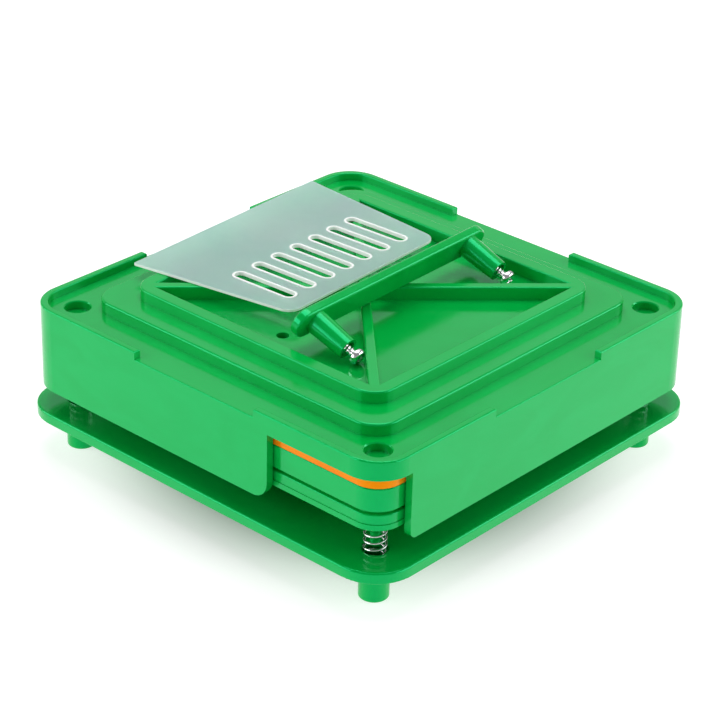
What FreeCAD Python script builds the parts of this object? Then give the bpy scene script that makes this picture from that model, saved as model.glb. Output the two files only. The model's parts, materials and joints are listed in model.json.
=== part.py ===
import FreeCAD, Part
import math
import os

# Manual capsule filling board, packed in its storage stack.
# Millimetres. Origin: centre of the foot soles. +Z up, the handle bar runs along Y,
# and the powder spout of the frame is at the +X, -Y corner.

# ---------------------------------------------------------------- driving sizes
# Base with its four feet and spring sockets
BASE_MARGIN = 2.7               # base edge outside the powder frame, each side
BASE_THICKNESS = 4.4
BASE_CORNER_RADIUS = 17.0
BASE_EDGE_FILLET = 0.9          # top edge
BASE_SOLE_FILLET = 0.3          # bottom edge
FOOT_HEIGHT = 15.0
FOOT_WALL = 0.6                 # round the spring socket
FOOT_EDGE_FILLET = 0.8
SOCKET_FLOOR = 3.0
CORNER_INSET = 14.0             # frame side to a corner's centre line: foot, spring, peg, deck pocket

# Coil springs
SPRING_OUTER_DIAMETER = 8.7
SPRING_WIRE = 0.9
SPRING_TURNS = 11.0
SPRING_SIDE_CLEARANCE = 0.65    # spring to socket wall
SPRING_END_CLEARANCE = 0.02     # spring to socket floor and to body plate

# Plates
RIDE_HEIGHT = 13.0              # base top to body plate underside
BODY_PLATE_THICKNESS = 7.6
CAP_PLATE_THICKNESS = 9.2
MIDDLE_PLATE_THICKNESS = 5.2
PLATE_CLEARANCE = 0.5           # plate to frame skirt, each side
PLATE_EDGE_FILLET = 0.5
SHADOW_REBATE_DEPTH = 1.3       # rebate round the top edge of the body plate
SHADOW_REBATE_WIDTH = 1.6
BODY_LEDGE_HEIGHT = 2.4         # full-width ledge round the foot of the body plate
BODY_STEP_INSET = 0.3           # from the ledge to the body plate's sides
PEG_DIAMETER = 3.9
PEG_LENGTH = 11.5
PEG_TIP_FILLET = 0.8
GUIDE_CLEARANCE = 0.2           # peg to the guide holes of the plates

# Capsule grid
GRID_COUNT = 10
GRID_PITCH = 12.6
BODY_HOLE_DIAMETER = 7.5
CAP_HOLE_DIAMETER = 7.9
MIDDLE_HOLE_DIAMETER = 8.3

# Powder frame
FRAME_WIDTH = 180.0
FRAME_CORNER_RADIUS = 14.2
FRAME_WALL = 3.0
DECK_THICKNESS = 4.4
SKIRT_DEPTH = 26.6              # deck underside to skirt edge
DECK_EDGE_FILLET = 0.5          # outer edge of the deck between the lips
LIP_HEIGHT = 3.1
LIP_THICKNESS = 3.0
LIP_EDGE_FILLET = 0.7
LIP_GAP = 60.0                  # open middle of each side between two lips
WINDOW_MARGIN = 3.0             # window edge to the outermost capsule hole
POCKET_DIAMETER = 9.9           # blind pocket for a guide post, one at each corner of the deck
POCKET_FLOOR = 1.0              # left under a pocket
POCKET_CHAMFER = 0.4
SPOUT_ALONG_FRONT = 53.0        # spout opening from the corner along the -Y side
SPOUT_ALONG_SIDE = 16.3         # and along the +X side
SPOUT_FRONT_RADIUS = 7.0        # lower skirt corner on the -Y side
SPOUT_SIDE_RADIUS = 3.0         # lower skirt corner on the +X side

# Tamper
FLANGE_OVERLAP = 9.25           # flange beyond the powder window, each side
FLANGE_THICKNESS = 4.7
FLANGE_CORNER_RADIUS = 10.9
FLANGE_EDGE_FILLET = 0.9
RING_SETBACK = 10.7             # flange edge to the ring, each side
RING_WALL = 5.8
RING_HEIGHT = 4.7               # above the flange
RING_CORNER_RADIUS = 9.7
RING_INNER_RADIUS = 1.5
RING_EDGE_FILLET = 0.7
FLOOR_DROP = 0.7                # ring floor below the flange top
RIB_WIDTH = 4.0
PIN_DIAMETER = 6.0
PIN_LENGTH = 14.0
PIN_TIP_CHAMFER = 0.8
SCREW_HOLE_CLEARANCE = 0.65     # handle screw to its hole in the tamper

# Handle, lying on its side on the ribs
BAR_LENGTH = 107.6
BAR_WIDTH = 11.4
BAR_THICKNESS = 4.0
BAR_EDGE_FILLET = 1.0
POST_INSET = 9.9                # bar end to post centre
POST_LENGTH = 16.2
POST_ROOT_DIAMETER = 9.6
POST_END_DIAMETER = 8.2
POST_RECESS_DIAMETER = 6.2
POST_RECESS_DEPTH = 1.6
POST_BORE_SPARE = 1.0           # bore deeper than the screw is long
HANDLE_Y = 1.6                  # bar centre
HEAD_TO_RIB = 1.29              # screw head to the side of a rib
HANDLE_YAW = 1.7                # degrees, as it was laid down

# Handle screws, driven part way into the posts
SCREW_MAJOR_DIAMETER = 3.5
SCREW_CORE_DIAMETER = 2.5
SCREW_PITCH = 1.3
SCREW_LENGTH = 13.0
SCREW_POINT_LENGTH = 1.5
SCREW_STANDOFF = 3.9            # post end to the underside of the head
SCREW_CLEARANCE = 0.08
SCREW_HEAD_DIAMETER = 6.4
SCREW_HEAD_HEIGHT = 2.3
SCREW_HEAD_ROUNDING = 1.4
RECESS_WIDTH = 0.9
RECESS_SPAN = 3.4
RECESS_DEPTH = 1.3

# Spreader card
CARD_LENGTH = 71.6
CARD_WIDE_END = 104.6
CARD_NARROW_END = 86.4
CARD_THICKNESS = 1.2
CARD_EDGE_FILLET = 0.3
CARD_CORNER_RADIUS = 6.0
CARD_TIP_RADIUS = 0.8
CARD_TO_BAR = 12.1              # narrow end to the handle bar
CARD_Y = 2.0
CARD_YAW = 3.0
SLOT_COUNT = 7
SLOT_PITCH = 11.0
SLOT_LENGTH = 28.8
SLOT_WIDTH = 4.6
SLOT_START = 35.0               # wide end to the near end of a slot
RIM_WIDTH = 0.9                 # raised rim round each slot
RIM_HEIGHT = 0.3
RIM_FILLET = 0.25

REST_GAP = 0.1                  # loose pieces to what they lie on

# ---------------------------------------------------------------- worked-out levels
BASE_TOP = FOOT_HEIGHT + BASE_THICKNESS
BODY_BOTTOM = BASE_TOP + RIDE_HEIGHT
BODY_TOP = BODY_BOTTOM + BODY_PLATE_THICKNESS
CAP_TOP = BODY_TOP + CAP_PLATE_THICKNESS
DECK_BOTTOM = CAP_TOP + MIDDLE_PLATE_THICKNESS
DECK_TOP = DECK_BOTTOM + DECK_THICKNESS
SKIRT_BOTTOM = DECK_BOTTOM - SKIRT_DEPTH
FLANGE_TOP = DECK_TOP + FLANGE_THICKNESS
RING_TOP = FLANGE_TOP + RING_HEIGHT
FLOOR_TOP = FLANGE_TOP - FLOOR_DROP

BASE_WIDTH = FRAME_WIDTH + 2 * BASE_MARGIN
CORNER_SPACING = FRAME_WIDTH - 2 * CORNER_INSET
PLATE_WIDTH = FRAME_WIDTH - 2 * (FRAME_WALL + PLATE_CLEARANCE)
PLATE_CORNER_RADIUS = FRAME_CORNER_RADIUS - FRAME_WALL - PLATE_CLEARANCE
FIELD_WIDTH = (GRID_COUNT - 1) * GRID_PITCH + CAP_HOLE_DIAMETER
WINDOW_WIDTH = FIELD_WIDTH + 2 * WINDOW_MARGIN
FLANGE_WIDTH = WINDOW_WIDTH + 2 * FLANGE_OVERLAP
RING_WIDTH = FLANGE_WIDTH - 2 * RING_SETBACK
SOCKET_DIAMETER = SPRING_OUTER_DIAMETER + 2 * SPRING_SIDE_CLEARANCE
FOOT_DIAMETER = SOCKET_DIAMETER + 2 * FOOT_WALL
GUIDE_HOLE_DIAMETER = PEG_DIAMETER + 2 * GUIDE_CLEARANCE
POST_SPACING = BAR_LENGTH - 2 * POST_INSET
POST_BORE_DEPTH = SCREW_LENGTH + POST_BORE_SPARE
PILOT_DIAMETER = SCREW_MAJOR_DIAMETER + 2 * SCREW_CLEARANCE
SCREW_HOLE_DIAMETER = SCREW_MAJOR_DIAMETER + 2 * SCREW_HOLE_CLEARANCE

UP = FreeCAD.Vector(0, 0, 1)
ABOUT_Y = FreeCAD.Vector(0, 1, 0)
CORNERS = [
    ("front_left", -1, -1),
    ("front_right", 1, -1),
    ("back_right", 1, 1),
    ("back_left", -1, 1),
]


# ---------------------------------------------------------------- shared shapes
def point(x, y, z=0.0):
    return FreeCAD.Vector(x, y, z)


def rounded_outline(corners, radii):
    """Closed wire through the corners in order, each corner turned by its own arc."""
    edges = []
    count = len(corners)
    starts = []
    ends = []
    middles = []
    for index in range(count):
        corner = corners[index]
        before = (corners[index - 1] - corner).normalize()
        after = (corners[(index + 1) % count] - corner).normalize()
        half_angle = before.getAngle(after) / 2
        setback = radii[index] / math.tan(half_angle)
        bisector = (before + after).normalize()
        arc_centre = corner + bisector * (radii[index] / math.sin(half_angle))
        starts.append(corner + before * setback)
        ends.append(corner + after * setback)
        middles.append(arc_centre - bisector * radii[index])
    for index in range(count):
        edges.append(Part.Arc(starts[index], middles[index], ends[index]).toShape())
        following = starts[(index + 1) % count]
        edges.append(Part.LineSegment(ends[index], following).toShape())
    return Part.Wire(edges)


def square_outline(width, radius, z):
    half = width / 2
    corners = [point(-half, -half, z), point(half, -half, z), point(half, half, z), point(-half, half, z)]
    return rounded_outline(corners, [radius] * 4)


def slab(width, radius, z_low, z_high):
    return Part.Face(square_outline(width, radius, z_low)).extrude(UP * (z_high - z_low))


def grid_points(z):
    first = -(GRID_COUNT - 1) * GRID_PITCH / 2
    steps = [first + index * GRID_PITCH for index in range(GRID_COUNT)]
    return [point(x, y, z) for x in steps for y in steps]


def corner_points(z):
    reach = CORNER_SPACING / 2
    return [point(x_sign * reach, y_sign * reach, z) for name, x_sign, y_sign in CORNERS]


def circle_wire(centre, diameter):
    return Part.Wire([Part.makeCircle(diameter / 2, centre, UP)])


def perforated_slab(width, radius, z_low, z_high, holes):
    """Slab with straight through holes, given as (centre, diameter) pairs."""
    wires = [square_outline(width, radius, z_low)]
    wires += [circle_wire(centre, diameter) for centre, diameter in holes]
    face = Part.makeFace(wires, "Part::FaceMakerBullseye")
    return face.extrude(UP * (z_high - z_low))


def edges_at_level(shape, z, keep=None):
    """Edges that lie wholly in the level plane z and pass the keep test."""
    found = []
    for edge in shape.Edges:
        box = edge.BoundBox
        level = abs(box.ZMin - z) < 1e-4 and abs(box.ZMax - z) < 1e-4
        if level and (keep is None or keep(edge)):
            found.append(edge)
    return found


def reaches(edge, half, tolerance=0.01):
    """True for an edge of an outline of the given half width, its corner arcs included."""
    box = edge.BoundBox
    extent = max(abs(box.XMin), abs(box.XMax), abs(box.YMin), abs(box.YMax))
    return abs(extent - half) < tolerance


def save(shape, node):
    shape.exportStep("parts/" + node + ".step")


# ---------------------------------------------------------------- base
def make_base():
    body = slab(BASE_WIDTH, BASE_CORNER_RADIUS, FOOT_HEIGHT, BASE_TOP)
    body = body.makeFillet(BASE_EDGE_FILLET, edges_at_level(body, BASE_TOP))
    body = body.makeFillet(BASE_SOLE_FILLET, edges_at_level(body, FOOT_HEIGHT))
    for centre in corner_points(0.0):
        foot = Part.makeCylinder(FOOT_DIAMETER / 2, FOOT_HEIGHT + BASE_THICKNESS / 2, centre)
        foot = foot.makeFillet(FOOT_EDGE_FILLET, edges_at_level(foot, 0.0))
        body = body.fuse(foot)
    for centre in corner_points(SOCKET_FLOOR):
        socket = Part.makeCylinder(SOCKET_DIAMETER / 2, BASE_TOP, centre)
        body = body.cut(socket)
    return body.removeSplitter()


def make_spring(centre):
    """Coil of round wire between the socket floor and the body plate."""
    coil_radius = (SPRING_OUTER_DIAMETER - SPRING_WIRE) / 2
    low = SOCKET_FLOOR + SPRING_END_CLEARANCE + SPRING_WIRE / 2
    high = BODY_BOTTOM - SPRING_END_CLEARANCE - SPRING_WIRE / 2
    pitch = (high - low) / SPRING_TURNS
    helix = Part.makeHelix(pitch, high - low, coil_radius)
    start = point(coil_radius, 0)
    circle = Part.Wire([Part.makeCircle(SPRING_WIRE / 2, start, ABOUT_Y)])
    coil = Part.Wire(helix.Edges).makePipeShell([circle], True, True)
    coil.translate(point(centre.x, centre.y, low))
    return coil


# ---------------------------------------------------------------- plates
def grid_holes(diameter, z):
    return [(centre, diameter) for centre in grid_points(z)]


def guide_holes(z):
    return [(centre, GUIDE_HOLE_DIAMETER) for centre in corner_points(z)]


def make_body_plate():
    """Lowest plate: a ledge, the stepped-in sides and a rebated top."""
    ledge_top = BODY_BOTTOM + BODY_LEDGE_HEIGHT
    rebate_low = BODY_TOP - SHADOW_REBATE_DEPTH
    side_width = PLATE_WIDTH - 2 * BODY_STEP_INSET
    side_radius = PLATE_CORNER_RADIUS - BODY_STEP_INSET
    ledge = perforated_slab(PLATE_WIDTH, PLATE_CORNER_RADIUS, BODY_BOTTOM, ledge_top,
                            grid_holes(BODY_HOLE_DIAMETER, BODY_BOTTOM))
    ledge = ledge.makeFillet(PLATE_EDGE_FILLET, edges_at_level(
        ledge, BODY_BOTTOM, lambda edge: reaches(edge, PLATE_WIDTH / 2)))
    main = perforated_slab(side_width, side_radius, ledge_top, rebate_low,
                           grid_holes(BODY_HOLE_DIAMETER, ledge_top))
    main = main.makeFillet(PLATE_EDGE_FILLET, edges_at_level(
        main, rebate_low, lambda edge: reaches(edge, side_width / 2)))
    top = perforated_slab(side_width - 2 * SHADOW_REBATE_WIDTH, side_radius - SHADOW_REBATE_WIDTH,
                          rebate_low, BODY_TOP, grid_holes(BODY_HOLE_DIAMETER, rebate_low))
    return ledge.fuse([main, top]).removeSplitter()


def make_pegs():
    """Four round pegs that stand under the body plate, inside the springs."""
    pegs = []
    for centre in corner_points(BODY_BOTTOM - PEG_LENGTH):
        peg = Part.makeCylinder(PEG_DIAMETER / 2, PEG_LENGTH, centre)
        pegs.append(peg.makeFillet(PEG_TIP_FILLET, edges_at_level(peg, centre.z)))
    return Part.makeCompound(pegs)


def make_plain_plate(z_low, z_high, hole_diameter):
    """Flat plate with the capsule grid, four guide holes and softened outer edges."""
    holes = grid_holes(hole_diameter, z_low) + guide_holes(z_low)
    plate = perforated_slab(PLATE_WIDTH, PLATE_CORNER_RADIUS, z_low, z_high, holes)
    outer = []
    for level in (z_low, z_high):
        outer += edges_at_level(plate, level, lambda edge: reaches(edge, PLATE_WIDTH / 2))
    return plate.makeFillet(PLATE_EDGE_FILLET, outer)


# ---------------------------------------------------------------- powder frame
def make_lips():
    """Upstand round the four corners of the deck, open in the middle of each side."""
    outer = slab(FRAME_WIDTH, FRAME_CORNER_RADIUS, DECK_TOP, DECK_TOP + LIP_HEIGHT)
    inner_width = FRAME_WIDTH - 2 * LIP_THICKNESS
    inner = slab(inner_width, FRAME_CORNER_RADIUS - LIP_THICKNESS, DECK_TOP, DECK_TOP + LIP_HEIGHT)
    lips = outer.cut(inner)
    for length_x, length_y in ((FRAME_WIDTH, LIP_GAP), (LIP_GAP, FRAME_WIDTH)):
        corner = point(-length_x / 2, -length_y / 2, DECK_TOP)
        lips = lips.cut(Part.makeBox(length_x, length_y, LIP_HEIGHT, corner))
    pieces = []
    for lip in lips.Solids:
        pieces.append(lip.makeFillet(LIP_EDGE_FILLET, edges_at_level(lip, DECK_TOP + LIP_HEIGHT)))
    return pieces


def cut_spout(skirt):
    """Opening in the skirt at the +X, -Y corner, with rounded lower skirt corners."""
    half = FRAME_WIDTH / 2
    over = 1.0
    corner = point(half - SPOUT_ALONG_FRONT, -half - over, SKIRT_BOTTOM - over)
    opening = Part.makeBox(SPOUT_ALONG_FRONT + over, SPOUT_ALONG_SIDE + over,
                           SKIRT_DEPTH + over, corner)
    skirt = skirt.cut(opening)
    front_edge = []
    side_edge = []
    for edge in edges_at_level(skirt, SKIRT_BOTTOM):
        box = edge.BoundBox
        if abs(box.XMin - (half - SPOUT_ALONG_FRONT)) < 0.01 and box.XLength < 0.01:
            front_edge.append(edge)
        if abs(box.YMin - (SPOUT_ALONG_SIDE - half)) < 0.01 and box.YLength < 0.01:
            side_edge.append(edge)
    skirt = skirt.makeFillet(SPOUT_FRONT_RADIUS, front_edge)
    side_edge = [edge for edge in edges_at_level(skirt, SKIRT_BOTTOM)
                 if abs(edge.BoundBox.YMin - (SPOUT_ALONG_SIDE - half)) < 0.01
                 and edge.BoundBox.YLength < 0.01]
    return skirt.makeFillet(SPOUT_SIDE_RADIUS, side_edge)


def between_lips(edge):
    """True for the deck's outer edge in the open middle of a side."""
    box = edge.BoundBox
    short = min(box.XLength, box.YLength)
    return reaches(edge, FRAME_WIDTH / 2) and short < 0.01 and abs(edge.Length - LIP_GAP) < 0.01


def make_powder_frame():
    outer = slab(FRAME_WIDTH, FRAME_CORNER_RADIUS, SKIRT_BOTTOM, DECK_TOP)
    inner = slab(FRAME_WIDTH - 2 * FRAME_WALL, FRAME_CORNER_RADIUS - FRAME_WALL,
                 SKIRT_BOTTOM, DECK_BOTTOM)
    frame = cut_spout(outer.cut(inner))
    window = slab(WINDOW_WIDTH, RING_INNER_RADIUS, DECK_BOTTOM, DECK_TOP)
    frame = frame.cut(window)
    for centre in corner_points(DECK_BOTTOM + POCKET_FLOOR):
        pocket = Part.makeCylinder(POCKET_DIAMETER / 2, DECK_THICKNESS - POCKET_FLOOR, centre)
        rim = point(centre.x, centre.y, DECK_TOP - POCKET_CHAMFER)
        countersink = Part.makeCone(POCKET_DIAMETER / 2, POCKET_DIAMETER / 2 + POCKET_CHAMFER,
                                    POCKET_CHAMFER, rim)
        frame = frame.cut([pocket, countersink])
    frame = frame.fuse(make_lips()).removeSplitter()
    return frame.makeFillet(DECK_EDGE_FILLET, edges_at_level(frame, DECK_TOP, between_lips))


# ---------------------------------------------------------------- tamper
def make_pins():
    """One pin under the flange for each capsule hole, with a chamfered tip."""
    pins = []
    for centre in grid_points(DECK_TOP - PIN_LENGTH):
        pin = Part.makeCylinder(PIN_DIAMETER / 2, PIN_LENGTH, centre)
        pins.append(pin.makeChamfer(PIN_TIP_CHAMFER, edges_at_level(pin, centre.z)))
    return Part.makeCompound(pins)


def make_rib(angle):
    """Bar across the ring on one diagonal, cut to the ring's inner outline."""
    length = RING_WIDTH * math.sqrt(2)
    height = RING_TOP - FLOOR_TOP
    rib = Part.makeBox(length, RIB_WIDTH, height, point(-length / 2, -RIB_WIDTH / 2, FLOOR_TOP))
    rib.rotate(point(0, 0), UP, angle)
    return rib


def make_tamper():
    flange = slab(FLANGE_WIDTH, FLANGE_CORNER_RADIUS, DECK_TOP, FLANGE_TOP)
    flange = flange.makeFillet(FLANGE_EDGE_FILLET, edges_at_level(flange, FLANGE_TOP))
    ring = slab(RING_WIDTH, RING_CORNER_RADIUS, FLANGE_TOP, RING_TOP)
    inner_width = RING_WIDTH - 2 * RING_WALL
    well = slab(inner_width, RING_INNER_RADIUS, FLOOR_TOP, RING_TOP)
    body = flange.fuse(ring)
    for angle in (45, -45):
        well = well.cut(make_rib(angle))
    body = body.cut(well)
    rims = edges_at_level(body, RING_TOP)
    body = body.makeFillet(RING_EDGE_FILLET, rims)
    for y in (-POST_SPACING / 2, POST_SPACING / 2):
        body = body.cut(Part.makeCylinder(SCREW_HOLE_DIAMETER / 2, RING_TOP, point(0, y)))
    return body.removeSplitter()


# ---------------------------------------------------------------- handle and screws
def handle_tilt():
    """Angle that rests the bar's rounded lower edge on the ribs and the screw heads on the floor."""
    along = POST_LENGTH + SCREW_STANDOFF + SCREW_HEAD_HEIGHT - SCREW_HEAD_ROUNDING + BAR_EDGE_FILLET
    across = SCREW_HEAD_DIAMETER / 2 - SCREW_HEAD_ROUNDING - BAR_WIDTH / 2 + BAR_EDGE_FILLET
    drop = RING_TOP - FLOOR_TOP + BAR_EDGE_FILLET - SCREW_HEAD_ROUNDING
    return math.asin(drop / math.hypot(along, across)) - math.atan2(across, along)


def handle_x():
    """Bar centre, as far over as the screw heads' clearance to the ribs allows."""
    reach = BAR_THICKNESS + POST_LENGTH + SCREW_STANDOFF + SCREW_HEAD_HEIGHT
    head_x = POST_SPACING / 2 - (HEAD_TO_RIB + SCREW_HEAD_DIAMETER / 2 + RIB_WIDTH / 2) * math.sqrt(2)
    return head_x - reach * math.cos(handle_tilt())


def lay_down(shape):
    """Turn a handle piece from its upright place (posts down, bar face at z = 0) to its side."""
    tilt = handle_tilt()
    edge_rise = (BAR_WIDTH / 2 - BAR_EDGE_FILLET) * math.cos(tilt)
    edge_rise += (BAR_THICKNESS - BAR_EDGE_FILLET) * math.sin(tilt) + BAR_EDGE_FILLET
    shape.rotate(point(0, 0), ABOUT_Y, math.degrees(tilt) - 90)
    shape.rotate(point(0, 0), UP, HANDLE_YAW)
    shape.translate(point(handle_x(), HANDLE_Y, RING_TOP + REST_GAP + edge_rise))
    return shape


def post_centres():
    return [("front", -POST_SPACING / 2), ("back", POST_SPACING / 2)]


def make_handle():
    half_width = BAR_WIDTH / 2
    half_length = BAR_LENGTH / 2
    corners = [point(-half_width, -half_length), point(half_width, -half_length),
               point(half_width, half_length), point(-half_width, half_length)]
    outline = rounded_outline(corners, [half_width - 0.05] * 4)
    bar = Part.Face(outline).extrude(UP * -BAR_THICKNESS)
    rims = edges_at_level(bar, 0.0) + edges_at_level(bar, -BAR_THICKNESS)
    bar = bar.makeFillet(BAR_EDGE_FILLET, rims)
    root = -BAR_THICKNESS / 2
    end = -BAR_THICKNESS - POST_LENGTH
    cuts = []
    for name, y in post_centres():
        post = Part.makeCone(POST_ROOT_DIAMETER / 2, POST_END_DIAMETER / 2, root - end,
                             point(0, y, root), UP * -1)
        bar = bar.fuse(post)
        cuts.append(Part.makeCylinder(POST_RECESS_DIAMETER / 2, POST_RECESS_DEPTH, point(0, y, end)))
        cuts.append(Part.makeCylinder(PILOT_DIAMETER / 2, POST_BORE_DEPTH, point(0, y, end)))
    return bar.cut(cuts).removeSplitter()


def screw_profile(head_low):
    """Half section of the screw, point up: pan head, then one saw tooth per thread turn."""
    head_radius = SCREW_HEAD_DIAMETER / 2
    core = SCREW_CORE_DIAMETER / 2
    crest = SCREW_MAJOR_DIAMETER / 2
    head_top = head_low + SCREW_HEAD_HEIGHT
    outline = [point(0, 0, head_low), point(head_radius - SCREW_HEAD_ROUNDING, 0, head_low)]
    rounding_middle = point(head_radius - SCREW_HEAD_ROUNDING * (1 - math.sqrt(0.5)), 0,
                            head_low + SCREW_HEAD_ROUNDING * (1 - math.sqrt(0.5)))
    rounding_end = point(head_radius, 0, head_low + SCREW_HEAD_ROUNDING)
    edges = [Part.LineSegment(outline[0], outline[1]).toShape(),
             Part.Arc(outline[1], rounding_middle, rounding_end).toShape()]
    shank = [rounding_end, point(head_radius, 0, head_top), point(core, 0, head_top)]
    turns = int((SCREW_LENGTH - SCREW_POINT_LENGTH) / SCREW_PITCH)
    z = head_top + SCREW_LENGTH - SCREW_POINT_LENGTH - turns * SCREW_PITCH
    for turn in range(turns):
        shank.append(point(core, 0, z + 0.35 * SCREW_PITCH))
        shank.append(point(crest, 0, z + 0.68 * SCREW_PITCH))
        shank.append(point(core, 0, z + SCREW_PITCH))
        z += SCREW_PITCH
    shank.append(point(0, 0, head_top + SCREW_LENGTH))
    shank.append(outline[0])
    for first, second in zip(shank, shank[1:]):
        if first.distanceToPoint(second) > 1e-6:
            edges.append(Part.LineSegment(first, second).toShape())
    return Part.Wire(edges)


def make_screw(y):
    """Pan-head screw part way out of its post, with a cross recess in its head."""
    head_low = -BAR_THICKNESS - POST_LENGTH - SCREW_STANDOFF - SCREW_HEAD_HEIGHT
    screw = Part.Face(screw_profile(head_low)).revolve(point(0, 0), UP, 360)
    for length_x, length_y in ((RECESS_SPAN, RECESS_WIDTH), (RECESS_WIDTH, RECESS_SPAN)):
        corner = point(-length_x / 2, -length_y / 2, head_low)
        screw = screw.cut(Part.makeBox(length_x, length_y, RECESS_DEPTH, corner))
    screw.translate(point(0, y, 0))
    return lay_down(screw)


# ---------------------------------------------------------------- spreader card
def slot_shape(y, width, length, thickness, z):
    """Rounded bar along X whose near end is the slot's end, grown evenly by its width."""
    grow = (width - SLOT_WIDTH) / 2
    x_low = SLOT_START - grow
    x_high = SLOT_START + length + grow
    corners = [point(x_low, y - width / 2, z), point(x_high, y - width / 2, z),
               point(x_high, y + width / 2, z), point(x_low, y + width / 2, z)]
    return Part.Face(rounded_outline(corners, [width / 2 - 0.02] * 4)).extrude(UP * thickness)


def card_x():
    """Middle of the wide end, found from the bar's near edge and the card's length."""
    bar_edge = handle_x() - BAR_WIDTH / 2 * math.sin(handle_tilt())
    return bar_edge - CARD_TO_BAR - CARD_LENGTH * math.cos(math.radians(CARD_YAW))


def make_card():
    """Tapered flexible card with seven slots, each inside a raised rim."""
    corners = [point(0, -CARD_WIDE_END / 2), point(CARD_LENGTH, -CARD_NARROW_END / 2),
               point(CARD_LENGTH, CARD_NARROW_END / 2), point(0, CARD_WIDE_END / 2)]
    radii = [CARD_TIP_RADIUS, CARD_CORNER_RADIUS, CARD_CORNER_RADIUS, CARD_TIP_RADIUS]
    card = Part.Face(rounded_outline(corners, radii)).extrude(UP * CARD_THICKNESS)
    faces = edges_at_level(card, 0.0) + edges_at_level(card, CARD_THICKNESS)
    card = card.makeFillet(CARD_EDGE_FILLET, faces)
    rows = [(index - (SLOT_COUNT - 1) / 2) * SLOT_PITCH for index in range(SLOT_COUNT)]
    rim_thickness = CARD_THICKNESS + RIM_HEIGHT
    rims = [slot_shape(y, SLOT_WIDTH + 2 * RIM_WIDTH, SLOT_LENGTH, rim_thickness, 0) for y in rows]
    slots = [slot_shape(y, SLOT_WIDTH, SLOT_LENGTH, rim_thickness, 0) for y in rows]
    card = card.fuse(rims).cut(slots).removeSplitter()
    card = card.makeFillet(RIM_FILLET, edges_at_level(card, rim_thickness))
    card.rotate(point(0, 0), UP, CARD_YAW)
    card.translate(point(card_x(), CARD_Y, RING_TOP + REST_GAP))
    return card


def main():
    os.makedirs("parts", exist_ok=True)
    save(make_base(), "base_plate")
    for (name, x_sign, y_sign), centre in zip(CORNERS, corner_points(0)):
        save(make_spring(centre), "spring_" + name)
    save(make_body_plate(), "body_plate")
    save(make_pegs(), "guide_pegs")
    save(make_plain_plate(BODY_TOP, CAP_TOP, CAP_HOLE_DIAMETER), "cap_plate")
    save(make_plain_plate(CAP_TOP, DECK_BOTTOM, MIDDLE_HOLE_DIAMETER), "middle_plate")
    save(make_powder_frame(), "powder_frame")
    save(make_tamper(), "tamper_plate")
    save(make_pins(), "tamper_pins")
    save(lay_down(make_handle()), "handle")
    for name, y in post_centres():
        save(make_screw(y), "handle_screw_" + name)
    save(make_card(), "spreader_card")


main()
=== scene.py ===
"""Looks for a hundred-hole capsule filling board, packed in its storage stack.

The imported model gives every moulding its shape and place.  This file adds the coil springs and
the handle screws as finer meshes, gives each piece its finish and sets up the studio round it.
All sizes are metres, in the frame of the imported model.
"""
import json
import logging
import math
from collections.abc import Sequence
from dataclasses import dataclass
from enum import Enum

import bpy
import numpy as np
from mathutils import Matrix, Vector


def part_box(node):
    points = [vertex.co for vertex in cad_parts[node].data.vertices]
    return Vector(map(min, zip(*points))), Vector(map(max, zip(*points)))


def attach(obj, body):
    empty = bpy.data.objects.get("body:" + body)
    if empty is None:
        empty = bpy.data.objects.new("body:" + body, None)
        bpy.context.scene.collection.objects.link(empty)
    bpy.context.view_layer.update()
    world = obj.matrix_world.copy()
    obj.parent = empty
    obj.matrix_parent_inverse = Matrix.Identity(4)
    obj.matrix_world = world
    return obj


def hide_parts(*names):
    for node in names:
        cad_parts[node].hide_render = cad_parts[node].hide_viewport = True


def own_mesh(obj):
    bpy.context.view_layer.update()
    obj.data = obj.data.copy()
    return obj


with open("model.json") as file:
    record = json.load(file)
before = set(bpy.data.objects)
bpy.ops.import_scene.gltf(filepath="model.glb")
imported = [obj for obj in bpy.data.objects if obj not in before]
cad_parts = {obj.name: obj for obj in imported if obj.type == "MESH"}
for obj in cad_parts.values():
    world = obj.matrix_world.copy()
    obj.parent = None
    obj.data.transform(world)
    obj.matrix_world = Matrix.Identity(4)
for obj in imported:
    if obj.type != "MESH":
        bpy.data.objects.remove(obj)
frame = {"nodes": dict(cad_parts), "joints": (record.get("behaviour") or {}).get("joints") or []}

LOG = logging.getLogger("filling_board")
Colour = tuple[float, float, float]
Span = tuple[float, float]
NO_SHIFT: Colour = (0.0, 0.0, 0.0)
NO_STRETCH: Colour = (1.0, 1.0, 1.0)
WHITE: Colour = (1.0, 1.0, 1.0)
UNIT: Span = (0.0, 1.0)
HAZE_BAND: Span = (0.3, 0.7)    # the part of a noise's range that a roughness is spread over


class Corner(Enum):
    """The four corners of the board that hold a spring."""

    FRONT_LEFT = "front_left"
    FRONT_RIGHT = "front_right"
    BACK_RIGHT = "back_right"
    BACK_LEFT = "back_left"


class HandleEnd(Enum):
    """The two ends of the handle bar, each with its post and screw."""

    FRONT = "front"
    BACK = "back"


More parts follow.
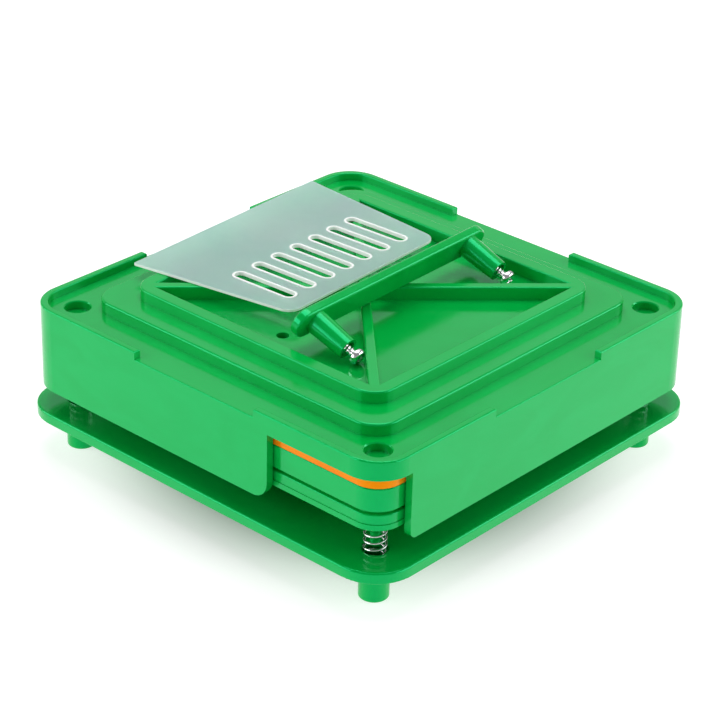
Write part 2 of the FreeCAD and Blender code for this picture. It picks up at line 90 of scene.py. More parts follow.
# ---------------------------------------------------------------- finishes
class ShaderBench:
    """A new node material and the few node patterns that the finishes share."""

    def __init__(self, name: str) -> None:
        """Start a material with one Principled shader and its output."""
        self.material = bpy.data.materials.new(name)
        self.material.use_nodes = True
        self.nodes = self.material.node_tree.nodes
        self.links = self.material.node_tree.links
        self.shader = self.nodes["Principled BSDF"]

    def add(self, kind: str, **settings: object) -> bpy.types.Node:
        """Add a node.

        Args:
            kind: Node type name.
            settings: Attributes to set on the node.

        Returns:
            The new node.
        """
        node = self.nodes.new(kind)
        for key, value in settings.items():
            setattr(node, key, value)
        return node

    def placed(self, output: str, shift: Colour = NO_SHIFT,
               stretch: Colour = NO_STRETCH) -> bpy.types.NodeSocket:
        """Texture coordinates on the piece, shifted and stretched.

        Args:
            output: "Object" or "UV".
            shift: Offset of the pattern in metres, so that no two mouldings match.
            stretch: Factor along each axis.

        Returns:
            The vector socket.
        """
        source = self.add("ShaderNodeTexCoord")
        mapping = self.add("ShaderNodeMapping")
        mapping.inputs["Location"].default_value = shift
        mapping.inputs["Scale"].default_value = stretch
        self.links.new(source.outputs[output], mapping.inputs["Vector"])
        return mapping.outputs["Vector"]

    def noise(self, where: bpy.types.NodeSocket, scale: float, detail: float,
              distortion: float = 0.0) -> bpy.types.NodeSocket:
        """Grey noise.

        Args:
            where: Coordinates to read it at.
            scale: Cells per metre of the coordinates.
            detail: How many finer layers lie on the first.
            distortion: How far the pattern is stirred.

        Returns:
            The factor socket.
        """
        node = self.add("ShaderNodeTexNoise")
        node.inputs["Scale"].default_value = scale
        node.inputs["Detail"].default_value = detail
        node.inputs["Distortion"].default_value = distortion
        self.links.new(where, node.inputs["Vector"])
        return node.outputs["Fac"]

    def remap(self, value: bpy.types.NodeSocket, source: Span, target: Span,
              smooth: bool = False) -> bpy.types.NodeSocket:
        """Map a value from one range to another, clamped at both ends.

        Args:
            value: What is mapped.
            source: Its range.
            target: The range that it becomes.
            smooth: Whether it eases in and out.

        Returns:
            The result socket.
        """
        node = self.add("ShaderNodeMapRange", interpolation_type="SMOOTHSTEP" if smooth else "LINEAR")
        node.inputs["From Min"].default_value = source[0]
        node.inputs["From Max"].default_value = source[1]
        node.inputs["To Min"].default_value = target[0]
        node.inputs["To Max"].default_value = target[1]
        self.links.new(value, node.inputs["Value"])
        return node.outputs["Result"]

    def mix(self, factor: bpy.types.NodeSocket, first: Colour | bpy.types.NodeSocket,
            second: Colour) -> bpy.types.NodeSocket:
        """Blend two colours.

        Args:
            factor: Zero for the first and one for the second.
            first: A colour or a colour socket.
            second: A colour.

        Returns:
            The colour socket.
        """
        node = self.add("ShaderNodeMix", data_type="RGBA")
        self.links.new(factor, node.inputs["Factor"])
        if isinstance(first, bpy.types.NodeSocket):
            self.links.new(first, node.inputs["A"])
        else:
            node.inputs["A"].default_value = (*first, 1.0)
        node.inputs["B"].default_value = (*second, 1.0)
        return node.outputs["Result"]

    def relief(self, height: bpy.types.NodeSocket, depth: float,
               below: bpy.types.NodeSocket | None = None) -> bpy.types.NodeSocket:
        """Bump, alone or over another one.

        Args:
            height: Height from zero to one.
            depth: What a height of one stands for, in metres.
            below: The normal socket of the bump that it lies on.

        Returns:
            The normal socket.
        """
        node = self.add("ShaderNodeBump")
        node.inputs["Strength"].default_value = 1.0
        node.inputs["Distance"].default_value = depth
        self.links.new(height, node.inputs["Height"])
        if below is not None:
            self.links.new(below, node.inputs["Normal"])
        return node.outputs["Normal"]

    def larger(self, first: bpy.types.NodeSocket, second: bpy.types.NodeSocket) -> bpy.types.NodeSocket:
        """The larger of two values."""
        node = self.add("ShaderNodeMath", operation="MAXIMUM")
        self.links.new(first, node.inputs[0])
        self.links.new(second, node.inputs[1])
        return node.outputs["Value"]

    def upward(self, vector: bpy.types.NodeSocket) -> bpy.types.NodeSocket:
        """The Z part of a vector."""
        node = self.add("ShaderNodeSeparateXYZ")
        self.links.new(vector, node.inputs["Vector"])
        return node.outputs["Z"]

    def drive(self, name: str, socket: bpy.types.NodeSocket) -> None:
        """Link a socket to the shader input of the given name."""
        self.links.new(socket, self.shader.inputs[name])

    def fix(self, **values: object) -> None:
        """Set constant shader inputs, named with underscores for spaces."""
        for key, value in values.items():
            self.shader.inputs[key.replace("_", " ")].default_value = value


@dataclass(frozen=True)
class GlossPlastic:
    """Glossy injection-moulded plastic with faint flow clouding and sink waviness."""

    name: str
    body: Colour
    cloud: Colour
    glint: Colour
    shift: Colour
    flow_stretch: Colour = (1.0, 1.0, 2.2)
    smoothest: float = 0.10
    roughest: float = 0.17
    cloud_scale: float = 26.0
    cloud_band: Span = (0.36, 0.66)
    haze_scale: float = 182.0
    grain_scale: float = 1500.0
    grain_depth: float = 0.0000012
    sink_scale: float = 34.0
    sink_depth: float = 0.00004
    gloss: float = 1.0
    refraction: float = 1.6

    def make(self) -> bpy.types.Material:
        """Build the material from noise on Object coordinates, stretched a little along Z."""
        bench = ShaderBench(self.name)
        where = bench.placed("Object", self.shift, self.flow_stretch)
        flow = bench.noise(where, self.cloud_scale, detail=3.0, distortion=0.8)
        cloud = bench.remap(flow, self.cloud_band, UNIT, smooth=True)
        bench.drive("Base Color", bench.mix(cloud, self.body, self.cloud))
        haze = bench.noise(where, self.haze_scale, detail=4.0)
        bench.drive("Roughness", bench.remap(haze, HAZE_BAND, (self.smoothest, self.roughest)))
        sink = bench.relief(bench.noise(where, self.sink_scale, detail=1.0), self.sink_depth)
        grain = bench.noise(where, self.grain_scale, detail=2.0)
        bench.drive("Normal", bench.relief(grain, self.grain_depth, below=sink))
        bench.fix(Specular_Tint=(*self.glint, 1.0), Specular_IOR_Level=self.gloss, IOR=self.refraction)
        return bench.material


@dataclass(frozen=True)
class FrostedSheet:
    """Frosted plastic sheet that turns whiter in its rims and along its cut edges, where it also gets a
    painted glow.
    """

    name: str
    sheet_top: float
    rim_top: float
    body: Colour = (0.66, 0.90, 0.87)
    cloud: Colour = (0.75, 0.94, 0.92)
    rim: Colour = (0.89, 0.90, 0.89)
    # painted glow: emission that lights the rims and cut edges as if light shone through the sheet there
    painted_edge_glow: float = 0.12
    transmission: float = 0.72
    rim_transmission: float = 0.1
    edge_tilt: Span = (0.95, 0.4)
    shift: Colour = (0.3, 0.1, 0.0)
    cloud_scale: float = 30.0
    cloud_band: Span = (0.35, 0.65)
    haze_scale: float = 220.0
    smoothest: float = 0.38
    roughest: float = 0.50
    grain_scale: float = 2600.0
    grain_depth: float = 0.000004
    gloss: float = 0.45
    refraction: float = 1.49

    def whiteness_and_painted_glow(self, bench: ShaderBench) -> bpy.types.NodeSocket:
        """How white the sheet is, which also sets how strongly its painted edge glow shows.

        The larger of two smooth steps: one on height, from the sheet's top to the rims', and
        one on how far the surface faces sideways, which is full on a cut edge.

        Args:
            bench: The material being made.

        Returns:
            A value from zero to one.
        """
        height = bench.upward(bench.placed("Object"))
        raised = bench.remap(height, (self.sheet_top, self.rim_top), UNIT, smooth=True)
        level = bench.add("ShaderNodeMath", operation="ABSOLUTE")
        normal = bench.add("ShaderNodeNewGeometry").outputs["Normal"]
        bench.links.new(bench.upward(normal), level.inputs[0])
        edge = bench.remap(level.outputs["Value"], self.edge_tilt, UNIT, smooth=True)
        return bench.larger(raised, edge)

    def make(self) -> bpy.types.Material:
        """Build the material: clouded and translucent, and whiter and denser where it is cut, with a painted
        glow from emission there.
        """
        bench = ShaderBench(self.name)
        where = bench.placed("Object", self.shift)
        flow = bench.noise(where, self.cloud_scale, detail=4.0, distortion=0.6)
        tone = bench.mix(bench.remap(flow, self.cloud_band, UNIT), self.body, self.cloud)
        white = self.whiteness_and_painted_glow(bench)
        bench.drive("Base Color", bench.mix(white, tone, self.rim))
        bench.drive("Transmission Weight",
                    bench.remap(white, UNIT, (self.transmission, self.rim_transmission)))
        # painted glow: the rims and cut edges emit a faint white light, strongest where the sheet is whitest
        bench.drive("Emission Strength", bench.remap(white, UNIT, (0.0, self.painted_edge_glow)))
        haze = bench.noise(where, self.haze_scale, detail=5.0)
        bench.drive("Roughness", bench.remap(haze, HAZE_BAND, (self.smoothest, self.roughest)))
        grain = bench.noise(where, self.grain_scale, detail=2.0)
        bench.drive("Normal", bench.relief(grain, self.grain_depth))
        bench.fix(IOR=self.refraction, Specular_IOR_Level=self.gloss, Emission_Color=(*WHITE, 1.0))
        return bench.material


@dataclass(frozen=True)
class DrawnSteel:
    """Bright metal with fine marks that run along the wire or round the thread."""

    name: str
    body: Colour
    worn: Colour
    smoothest: float
    roughest: float
    along: float
    across: float
    mark_depth: float = 0.000003
    blotch_shift: Colour = (0.1, 0.2, 0.0)
    blotch_scale: float = 420.0
    blotch_band: Span = (0.4, 0.7)

    def make(self) -> bpy.types.Material:
        """Build the material from noise stretched along the piece's own UV map."""
        bench = ShaderBench(self.name)
        surface = bench.placed("UV", stretch=(self.along, self.across, 1.0))
        marks = bench.noise(surface, 1.0, detail=4.0)
        where = bench.placed("Object", self.blotch_shift)
        blotch = bench.noise(where, self.blotch_scale, detail=3.0)
        worn = bench.remap(blotch, self.blotch_band, UNIT, smooth=True)
        bench.drive("Base Color", bench.mix(worn, self.body, self.worn))
        bench.drive("Roughness", bench.remap(marks, HAZE_BAND, (self.smoothest, self.roughest)))
        bench.drive("Normal", bench.relief(marks, self.mark_depth))
        bench.fix(Metallic=1.0)
        return bench.material


def dress(node: str, material: bpy.types.Material) -> None:
    """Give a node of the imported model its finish, on the object's own slots.

    Args:
        node: Name of the node.
        material: Finish.
    """
    piece = frame["nodes"][node]
    if not piece.material_slots:
        piece.data.materials.append(material)
    for slot in piece.material_slots:
        slot.link = "OBJECT"
        slot.material = material
    LOG.info("dressed %s in %s", node, material.name)


# ---------------------------------------------------------------- grid meshes
def grid_faces(rows: int, columns: int) -> np.ndarray:
    """Quads over a grid that is open along its rows and closed round its columns.

    Args:
        rows: Points along the open direction.
        columns: Points round the closed direction.

    Returns:
        Vertex numbers, four to a face.
    """
    row, column = np.meshgrid(np.arange(rows - 1), np.arange(columns), indexing="ij")
    after = (column + 1) % columns
    corners = [row * columns + column, row * columns + after,
               (row + 1) * columns + after, (row + 1) * columns + column]
    return np.stack(corners, axis=-1).reshape(-1, 4)


def cap_faces(ring: np.ndarray, pole: int, flip: bool) -> np.ndarray:
    """Triangles from a closed ring of vertices to its pole.

    Args:
        ring: Vertex numbers round the ring.
        pole: Vertex number of the pole.
        flip: Whether the triangles are turned over.

    Returns:
        Vertex numbers, three to a face.
    """
    after = np.roll(ring, -1)
    faces = np.stack([ring, after, np.full_like(ring, pole)], axis=-1)
    return faces[:, ::-1] if flip else faces


def wrapped_piece(name: str, surface: np.ndarray, poles: tuple[np.ndarray, np.ndarray],
                  wrap: np.ndarray, material: bpy.types.Material) -> bpy.types.Object:
    """Make a closed piece from a grid of rings with a pole at each end.

    Args:
        name: Object name.
        surface: Points, shaped rows by columns by 3, with each row a closed ring.
        poles: The points that close the first and the last ring.
        wrap: Distance along and round the surface at each grid point, rows by columns by 2.
        material: Finish.

    Returns:
        The new object, smooth shaded, with a UV map of the wrap distances.
    """
    rows, columns = surface.shape[:2]
    points = np.vstack([surface.reshape(-1, 3), poles[0], poles[1]])
    quads = grid_faces(rows, columns)
    first = cap_faces(np.arange(columns), rows * columns, True)
    last = cap_faces(np.arange(columns) + (rows - 1) * columns, rows * columns + 1, False)
    faces = quads.tolist() + first.tolist() + last.tolist()
    mesh = bpy.data.meshes.new(name)
    mesh.from_pydata(points, [], faces)
    flat = np.vstack([wrap.reshape(-1, 2), wrap[0].mean(axis=0), wrap[-1].mean(axis=0)])
    corner = np.empty(len(mesh.loops), dtype=np.int32)
    mesh.loops.foreach_get("vertex_index", corner)
    layer = mesh.uv_layers.new(name="wrap")
    layer.uv.foreach_set("vector", flat[corner].astype(np.float32).ravel())
    mesh.polygons.foreach_set("use_smooth", np.ones(len(mesh.polygons), dtype=bool))
    mesh.materials.append(material)
    mesh.update()
    piece = bpy.data.objects.new(name, mesh)
    bpy.context.scene.collection.objects.link(piece)
    return piece


# ---------------------------------------------------------------- springs
@dataclass
class SpringSet:
    """The four compression springs under the body plate, with closed and ground ends."""

    wire: float = 0.0009
    turns: float = 11.6
    dead_turns: float = 1.1
    dead_spacing: float = 1.04
    blend_turns: float = 0.7
    socket_floor: float = 0.003
    press: float = 0.008
    steps_per_turn: int = 40
    ring_points: int = 14

    def steel(self) -> DrawnSteel:
        """Finish of the wire: die marks run along it."""
        return DrawnSteel("drawn_spring_wire", body=(0.86, 0.86, 0.88), worn=(0.66, 0.67, 0.70),
                          smoothest=0.10, roughest=0.24, along=160.0, across=5200.0)

    def centre_line(self, low: float, high: float, radius: float) -> np.ndarray:
        """Points along the wire's centre line, about the Z axis.

        The angle grows evenly with the turn number.  The height climbs one wire per turn over
        the dead turns at each end, and evenly over the working turns between them, with the
        two slopes blended by a smooth step.

        Args:
            low: Height of the first point.
            high: Height of the last point.
            radius: Coil radius to the middle of the wire.

        Returns:
            Points, shaped count by 3.
        """
        turn = np.linspace(0.0, self.turns, int(self.turns * self.steps_per_turn) + 1)
        from_end = np.minimum(turn, self.turns - turn)
        into = from_end - self.dead_turns + self.blend_turns / 2.0
        blend = np.clip(into / self.blend_turns, 0.0, 1.0)
        blend = blend * blend * (3.0 - 2.0 * blend)
        dead_slope = self.wire * self.dead_spacing
        step = turn[1] - turn[0]
        dead_rise = np.sum((1.0 - blend)[:-1]) * step * dead_slope
        live_slope = (high - low - dead_rise) / (np.sum(blend[:-1]) * step)
        slope = dead_slope * (1.0 - blend) + live_slope * blend
        height = low + np.concatenate([[0.0], np.cumsum(slope[:-1] * step)])
        angle = 2.0 * math.pi * turn
        return np.stack([radius * np.cos(angle), radius * np.sin(angle), height], axis=-1)

    def section(self, line: np.ndarray) -> tuple[np.ndarray, np.ndarray]:
        """Carry a round section along a centre line about the Z axis.

        Each section point is the centre-line point plus the wire radius times the outward
        direction turned by the section angle towards the binormal.

        Args:
            line: The centre line.

        Returns:
            The rings of the surface, and the distances along and round the wire.
        """
        ahead = np.gradient(line, axis=0)
        ahead /= np.linalg.norm(ahead, axis=1, keepdims=True)
        outward = line * (1.0, 1.0, 0.0)
        outward /= np.linalg.norm(outward, axis=1, keepdims=True)
        side = np.cross(ahead, outward)
        angle = np.linspace(0.0, 2.0 * math.pi, self.ring_points, endpoint=False)
        ring = (outward[:, None] * np.cos(angle)[None, :, None]
                + side[:, None] * np.sin(angle)[None, :, None])
        surface = line[:, None] + ring * (self.wire / 2.0)
        run = np.concatenate([[0.0], np.cumsum(np.linalg.norm(np.diff(line, axis=0), axis=1))])
        along, around = np.meshgrid(run, angle * self.wire / 2.0, indexing="ij")
        return surface, np.stack([along, around], axis=-1)

    def build(self, corner: Corner, material: bpy.types.Material) -> bpy.types.Object:
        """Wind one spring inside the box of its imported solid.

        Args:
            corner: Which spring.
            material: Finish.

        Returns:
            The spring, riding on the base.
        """
        node = "spring_" + corner.value
        low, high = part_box(node)
        centre = (low + high) / 2.0
        radius = (high.x - low.x - self.wire) / 2.0
        line = self.centre_line(low.z + self.wire / 2.0, high.z - self.wire / 2.0, radius)
        surface, wrap = self.section(line)
        place = np.array([centre.x, centre.y, 0.0])
        piece = wrapped_piece("coil_spring_" + corner.value, surface + place,
                              (line[0] + place, line[-1] + place), wrap, material)
        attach(piece, "base")
        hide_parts(node)
        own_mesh(piece)
        LOG.info("spring %s: %d points along the wire", corner.value, len(line))
        return piece

    def build_all(self) -> None:
        """Make the four springs."""
        material = self.steel().make()
        for corner in Corner:
            self.build(corner, material)


# ---------------------------------------------------------------- handle screws
@dataclass
class HandleScrews:
    """The two pan-head screws that stand part way out of the handle's posts."""

    head_radius: float = 0.0032
    head_height: float = 0.0023
    rounding: float = 0.0014
    core_radius: float = 0.00125
    crest_radius: float = 0.00175
    pitch: float = 0.0013
    tooth_half_width: float = 0.34
    tooth_sharpness: float = 1.15
    runout_start: float = 0.0002
    runout_length: float = 0.0008
    length: float = 0.013
    point_length: float = 0.0020
    point_bluntness: float = 0.06
    arm_width: float = 0.0009
    arm_span: float = 0.0034
    wall_lean: float = 0.00016
    end_lean: float = 0.0007
    recess_depth: float = 0.0013
    ring_points: int = 96
    face_rings: int = 30
    face_centre: float = 0.00006
    edge_break: tuple[Span, ...] = ((0.0, -0.00012), (-0.00004, -0.00003), (-0.00013, 0.0))
    root_fillet: tuple[Span, ...] = ((0.0005, 0.0), (0.00018, 0.00006))
    rounding_rings: int = 12
    shank_rings: int = 168
    shank_top: float = 0.0001

    def zinc(self) -> DrawnSteel:
        """Finish of the screws: turning marks run round them."""
        return DrawnSteel("bright_zinc", body=(0.88, 0.88, 0.90), worn=(0.70, 0.70, 0.72),
                          smoothest=0.12, roughest=0.26, along=2600.0, across=120.0)

    def head_profile(self) -> np.ndarray:
        """Radius and depth below the head's face, from its middle out and in to the core.

        The face is flat to the start of the rounding, turns through a quarter circle, drops
        straight to the broken edge of the seat, and runs in flat to a small fillet at the core.

        Returns:
            Points, shaped count by 2.
        """
        flat = self.head_radius - self.rounding
        face = np.stack([np.linspace(self.face_centre, flat, self.face_rings),
                         np.zeros(self.face_rings)], axis=-1)
        turn = np.linspace(0.0, math.pi / 2.0, self.rounding_rings + 1)[1:]
        curve = np.stack([flat + self.rounding * np.sin(turn),
                          self.rounding * (1.0 - np.cos(turn))], axis=-1)
        rim = np.array([self.head_radius, self.head_height]) + np.array(self.edge_break)
        root = np.array([self.core_radius, self.head_height]) + np.array(self.root_fillet)
        return np.vstack([face, curve, rim, root])

    def recess(self, x: np.ndarray, y: np.ndarray) -> np.ndarray:
        """Depth of the cross recess, which is the deeper of its two arms.

        Args:
            x: Place along the first arm.
            y: Place along the second arm.

        Returns:
            Depth below the face at each point.
        """
        return self.recess_depth * np.maximum(self.arm(x, y), self.arm(y, x))

    def arm(self, along: np.ndarray, across: np.ndarray) -> np.ndarray:
        """One arm of the cross: a ramp down at each wall times a longer ramp down at each end.

        Args:
            along: Place along the arm.
            across: Place across it.

        Returns:
            Share of the full depth at each point.
        """
        inside = self.arm_width / 2.0 + self.wall_lean / 2.0 - np.abs(across)
        wall = np.clip(inside / self.wall_lean, 0.0, 1.0)
        end = np.clip((self.arm_span / 2.0 - np.abs(along)) / self.end_lean, 0.0, 1.0)
        return wall * end

    def thread_radius(self, depth: np.ndarray, angle: np.ndarray) -> np.ndarray:
        """Radius of the threaded shank.

        The core radius plus a rounded tooth whose phase is the depth in pitches less the angle
        in turns.  The tooth fades in under the head and the whole shank narrows at the point.

        Args:
            depth: Distance below the seat of the head.
            angle: Angle round the axis.

        Returns:
            Radius at each point.
        """
        phase = np.mod(depth / self.pitch - angle / (2.0 * math.pi), 1.0)
        tooth = np.clip(1.0 - np.abs(phase - 0.5) / self.tooth_half_width, 0.0, 1.0)
        tooth = tooth ** self.tooth_sharpness
        fade = np.clip((depth - self.runout_start) / self.runout_length, 0.0, 1.0)
        taper = np.sqrt(np.clip((self.length - depth) / self.point_length, 0.0, 1.0))
        rise = (self.crest_radius - self.core_radius) * tooth * fade
        return (self.core_radius + rise) * np.maximum(taper, self.point_bluntness)

    def turned(self) -> tuple[np.ndarray, np.ndarray]:
        """Turn the head's profile and the threaded shank round the Z axis.

        The face is at height zero and the point is below it.  Each point is its ring's radius
        at its angle, lowered by its depth, and over the face also by the recess.

        Returns:
            The rings of the surface, and the distances along and round the screw.
        """
        head = self.head_profile()
        shank_depth = np.linspace(self.shank_top, self.length, self.shank_rings)
        angle = np.linspace(0.0, 2.0 * math.pi, self.ring_points, endpoint=False)
        head_radius = np.repeat(head[:, :1], self.ring_points, axis=1)
        head_drop = np.repeat(head[:, 1:], self.ring_points, axis=1)
        cut = self.recess(head_radius * np.cos(angle), head_radius * np.sin(angle))
        face_rows = head[:, 1] < self.rounding
        head_drop = head_drop + cut * face_rows[:, None]
        depth, spin = np.meshgrid(shank_depth, angle, indexing="ij")
        radius = np.vstack([head_radius, self.thread_radius(depth, spin)])
        drop = np.vstack([head_drop, depth + self.head_height])
        around = np.broadcast_to(angle, radius.shape)
        surface = np.stack([radius * np.cos(around), radius * np.sin(around), -drop], axis=-1)
        return surface, np.stack([drop, around * self.head_radius], axis=-1)

    def seat(self, end: HandleEnd, node: str) -> tuple[np.ndarray, np.ndarray]:
        """Directions and place of one screw.

        The axis is the screw's own joint's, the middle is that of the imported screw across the
        axis, and the face is its furthest point along it.  The three directions are left-handed,
        which turns the faces outwards and makes the thread right-handed.

        Args:
            end: Which end of the handle.
            node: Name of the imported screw.

        Returns:
            The unit vectors right, up and outward as rows, and the face's middle along them.
        """
        joint = next(j for j in frame["joints"] if j["child"] == end.value + "_screw")
        outward = Vector(joint["axis"]).normalized()
        right = outward.cross(Vector((0.0, 0.0, 1.0))).normalized()
        up = right.cross(outward)
        mesh = frame["nodes"][node].data
        points = np.empty(len(mesh.vertices) * 3, dtype=np.float32)
        mesh.vertices.foreach_get("co", points)
        axes = np.array([right, up, outward])
        local = points.reshape(-1, 3).astype(float) @ axes.T
        middle = (local.min(axis=0) + local.max(axis=0)) / 2.0
        return axes, np.array([middle[0], middle[1], local[:, 2].max()])

    def build(self, end: HandleEnd, material: bpy.types.Material) -> bpy.types.Object:
        """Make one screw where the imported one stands.

        Args:
            end: Which end of the handle.
            material: Finish.

        Returns:
            The screw, riding on its own body.
        """
        node = "handle_screw_" + end.value
        axes, place = self.seat(end, node)
        turned, wrap = self.turned()
        first = np.array([0.0, 0.0, -self.recess_depth])
        last = np.array([0.0, 0.0, -self.head_height - self.length])
        piece = wrapped_piece("screw_" + end.value, (turned + place) @ axes,
                              ((first + place) @ axes, (last + place) @ axes), wrap, material)
        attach(piece, end.value + "_screw")
        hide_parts(node)
        LOG.info("screw %s: %d rings", end.value, len(turned))
        return piece

    def build_all(self) -> None:
        """Make both screws."""
        material = self.zinc().make()
        for end in HandleEnd:
            self.build(end, material)


# ---------------------------------------------------------------- mouldings
GREEN: Colour = (0.0, 0.390, 0.050)
GREEN_CLOUD: Colour = (0.001, 0.415, 0.060)
GREEN_GLINT: Colour = (0.05, 1.0, 0.50)
ORANGE: Colour = (0.92, 0.20, 0.0)
ORANGE_CLOUD: Colour = (0.95, 0.25, 0.002)
ORANGE_GLINT: Colour = (1.0, 0.5, 0.0)


@dataclass
class Mouldings:
    """The plastic mouldings of the board, each with its own shift of the clouding."""

    base_shift: Colour = (0.31, 0.12, 0.0)
    body_shift: Colour = (0.07, 0.53, 0.2)
    cap_shift: Colour = (0.9, 0.41, 0.1)
    middle_shift: Colour = (0.2, 0.7, 0.3)
    frame_shift: Colour = (0.63, 0.05, 0.4)
    tamper_shift: Colour = (0.44, 0.88, 0.7)
    handle_shift: Colour = (0.15, 0.36, 0.9)

    def green(self, name: str, shift: Colour) -> bpy.types.Material:
        """Green finish with its pattern shifted for one moulding."""
        return GlossPlastic(name, GREEN, GREEN_CLOUD, GREEN_GLINT, shift).make()

    def dress_base(self) -> None:
        """Base plate with its feet and sockets."""
        dress("base_plate", self.green("green_base", self.base_shift))

    def dress_stack(self) -> None:
        """Body plate, its pegs, the cap plate and the orange middle plate."""
        body = self.green("green_body_plate", self.body_shift)
        dress("body_plate", body)
        dress("guide_pegs", body)
        dress("cap_plate", self.green("green_cap_plate", self.cap_shift))
        orange = GlossPlastic("orange_middle_plate", ORANGE, ORANGE_CLOUD, ORANGE_GLINT, self.middle_shift)
        dress("middle_plate", orange.make())

    def dress_frame(self) -> None:
        """Powder frame with its lips and spout."""
        dress("powder_frame", self.green("green_powder_frame", self.frame_shift))

    def dress_tamper(self) -> None:
        """Tamper with its ring, ribs and pins."""
        tamper = self.green("green_tamper", self.tamper_shift)
        dress("tamper_plate", tamper)
        dress("tamper_pins", tamper)

    def dress_handle(self) -> None:
        """Handle bar with its two posts."""
        dress("handle", self.green("green_handle", self.handle_shift))

    def dress_all(self) -> None:
        """Every moulding, from the base up."""
        self.dress_base()
        self.dress_stack()
        self.dress_frame()
        self.dress_tamper()
        self.dress_handle()


@dataclass
class SpreaderCard:
    """The frosted spreader card that lies on the tamper's ring."""

    thickness: float = 0.0012

    def dress(self) -> None:
        """Give the card its frosted finish, with levels taken from its own box."""
        low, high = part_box("spreader_card")
        sheet = FrostedSheet("frosted_card", sheet_top=low.z + self.thickness, rim_top=high.z)
        dress("spreader_card", sheet.make())


# ---------------------------------------------------------------- studio
@dataclass(frozen=True)
class Softbox:
    """A flat soft light that faces the board."""

    name: str
    azimuth: float
    elevation: float
    distance: float
    width: float
    height: float
    radiance: float

    def build(self, target: Vector) -> None:
        """Place the light on a sphere, with its azimuth turning from +X towards +Y.

        Args:
            target: Middle of the sphere.
        """
        around = math.radians(self.azimuth)
        above = math.radians(self.elevation)
        away = Vector((math.cos(around) * math.cos(above), math.sin(around) * math.cos(above),
                       math.sin(above)))
        lamp = bpy.data.lights.new(self.name, "AREA")
        lamp.shape = "RECTANGLE"
        lamp.size = self.width
        lamp.size_y = self.height
        lamp.energy = self.radiance * math.pi * self.width * self.height
        light = bpy.data.objects.new(self.name, lamp)
        light.location = target + away * self.distance
        light.rotation_euler = away.to_track_quat("Z", "Y").to_euler()
        light.visible_camera = False
        bpy.context.scene.collection.objects.link(light)
        LOG.info("light %s at %.0f degrees", self.name, self.azimuth)


SOFTBOXES: tuple[Softbox, ...] = (
    Softbox("fill_left", azimuth=-128.0, elevation=22.0, distance=1.5, width=1.5, height=0.75, radiance=3.2),
    Softbox("fill_right", azimuth=41.0, elevation=22.0, distance=1.5, width=1.5, height=0.75, radiance=3.2),
    Softbox("panel_back", azimuth=131.6, elevation=32.0, distance=1.6, width=1.6, height=0.8, radiance=0.42),
    Softbox("softbox_top", azimuth=131.6, elevation=76.0, distance=1.4, width=1.1, height=1.1, radiance=3.2),
)


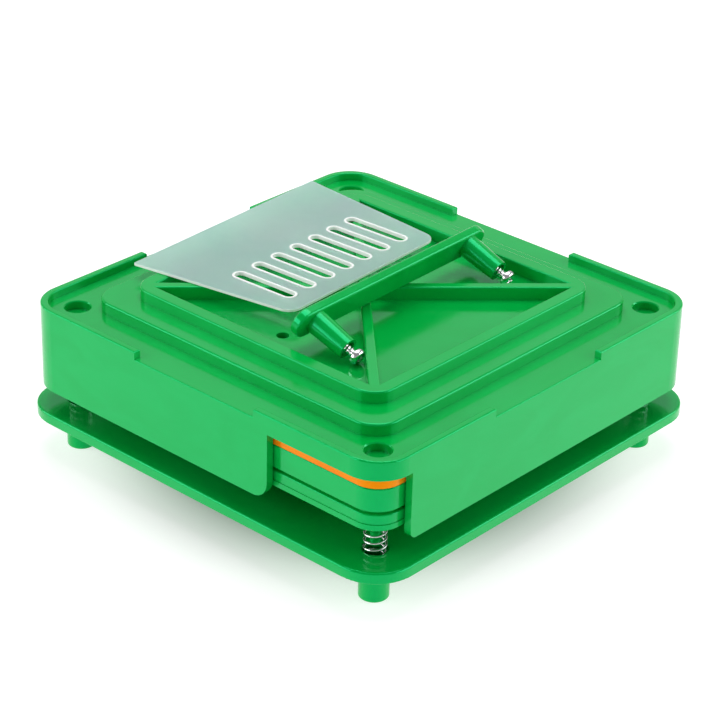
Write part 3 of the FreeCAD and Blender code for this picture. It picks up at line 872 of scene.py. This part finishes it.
@dataclass
class Studio:
    """White table, white surroundings, softboxes and the camera."""

    azimuth: float = 41.614
    elevation: float = 27.906
    roll: float = 1.588
    distance: float = 0.94728
    target: Vector = Vector((0.0, 0.0, 0.03723))
    lens: float = 123.963
    sensor: float = 36.0
    shift_x: float = -0.00274
    shift_y: float = -0.00353
    table_reach: float = 4.0
    table_colour: Colour = (0.5, 0.5, 0.5)
    table_roughness: float = 0.9
    table_gloss: float = 0.1
    table_glow: float = 0.70
    # painted shadow: from the middle out to here the table's glow is left out and ramps in, as a contact
    # shadow under the board
    painted_shadow_reach: Span = (0.05, 0.115)
    # painted pool of light: over this span the glow falls to far_glow of its strength
    painted_pool_reach: Span = (0.55, 1.0)
    far_glow: float = 0.5
    dome_low: float = 0.50
    dome_high: float = 0.25
    dome_band: Span = (0.14, 0.42)

    def build_table(self) -> None:
        """Flat white table with a painted glow: none under the board, which paints its contact shadow, and
        dimmer far out, which paints a pool of light round the board.
        """
        reach = self.table_reach
        corners = [(-reach, -reach, 0.0), (reach, -reach, 0.0), (reach, reach, 0.0), (-reach, reach, 0.0)]
        mesh = bpy.data.meshes.new("studio_table")
        mesh.from_pydata(corners, [], [(0, 1, 2, 3)])
        bench = ShaderBench("white_table")
        distance = bench.add("ShaderNodeVectorMath", operation="LENGTH")
        bench.links.new(bench.placed("Object"), distance.inputs[0])
        away = distance.outputs["Value"]
        # painted contact shadow: no glow under the board, rising to full round it
        painted_shadow_ramp = bench.remap(away, self.painted_shadow_reach, (0.0, self.table_glow), smooth=True)
        # painted pool of light: the glow dims far from the board
        fade = bench.remap(away, self.painted_pool_reach, (1.0, self.far_glow), smooth=True)
        glow = bench.add("ShaderNodeMath", operation="MULTIPLY")
        bench.links.new(painted_shadow_ramp, glow.inputs[0])
        bench.links.new(fade, glow.inputs[1])
        bench.drive("Emission Strength", glow.outputs["Value"])
        bench.fix(Base_Color=(*self.table_colour, 1.0), Roughness=self.table_roughness,
                  Specular_IOR_Level=self.table_gloss, Emission_Color=(*WHITE, 1.0))
        mesh.materials.append(bench.material)
        table = bpy.data.objects.new("studio_table", mesh)
        bpy.context.scene.collection.objects.link(table)

    def build_surroundings(self) -> None:
        """White walls that fade to a dimmer ceiling, by the height of each direction."""
        world = bpy.data.worlds.new("studio_walls")
        world.use_nodes = True
        nodes = world.node_tree.nodes
        links = world.node_tree.links
        background = nodes["Background"]
        background.inputs["Color"].default_value = (*WHITE, 1.0)
        direction = nodes.new("ShaderNodeTexCoord")
        parts = nodes.new("ShaderNodeSeparateXYZ")
        fade = nodes.new("ShaderNodeMapRange")
        fade.interpolation_type = "SMOOTHSTEP"
        fade.inputs["From Min"].default_value = self.dome_band[0]
        fade.inputs["From Max"].default_value = self.dome_band[1]
        fade.inputs["To Min"].default_value = self.dome_low
        fade.inputs["To Max"].default_value = self.dome_high
        links.new(direction.outputs["Generated"], parts.inputs["Vector"])
        links.new(parts.outputs["Z"], fade.inputs["Value"])
        links.new(fade.outputs["Result"], background.inputs["Strength"])
        bpy.context.scene.world = world

    def build_lights(self) -> None:
        """Softboxes whose reflections draw the light lines along the upper edges."""
        for softbox in SOFTBOXES:
            softbox.build(self.target)

    def build_camera(self) -> None:
        """Long-lens camera, turned a little about its own axis."""
        around = math.radians(self.azimuth)
        above = math.radians(self.elevation)
        back = Vector((math.sin(around) * math.cos(above), -math.cos(around) * math.cos(above),
                       math.sin(above)))
        right = Vector((math.cos(around), math.sin(around), 0.0))
        up = back.cross(right)
        roll = math.radians(self.roll)
        rolled_right = right * math.cos(roll) + up * math.sin(roll)
        rolled_up = up * math.cos(roll) - right * math.sin(roll)
        pose = Matrix((rolled_right, rolled_up, back)).transposed().to_4x4()
        pose.translation = self.target + back * self.distance
        lens = bpy.data.cameras.new("studio_camera")
        lens.lens = self.lens
        lens.sensor_width = self.sensor
        lens.shift_x = self.shift_x
        lens.shift_y = self.shift_y
        camera = bpy.data.objects.new("studio_camera", lens)
        camera.matrix_world = pose
        bpy.context.scene.collection.objects.link(camera)
        bpy.context.scene.camera = camera

    def build(self) -> None:
        """Set up the whole studio, with colours shown as they are."""
        bpy.context.scene.view_settings.view_transform = "Standard"
        self.build_table()
        self.build_surroundings()
        self.build_lights()
        self.build_camera()


def main() -> None:
    """Build and dress every sub-assembly, then the studio."""
    logging.basicConfig(level=logging.INFO, format="%(name)s: %(message)s")
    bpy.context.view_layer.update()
    Mouldings().dress_all()
    SpreaderCard().dress()
    SpringSet().build_all()
    HandleScrews().build_all()
    Studio().build()


if __name__ == "__main__":
    main()
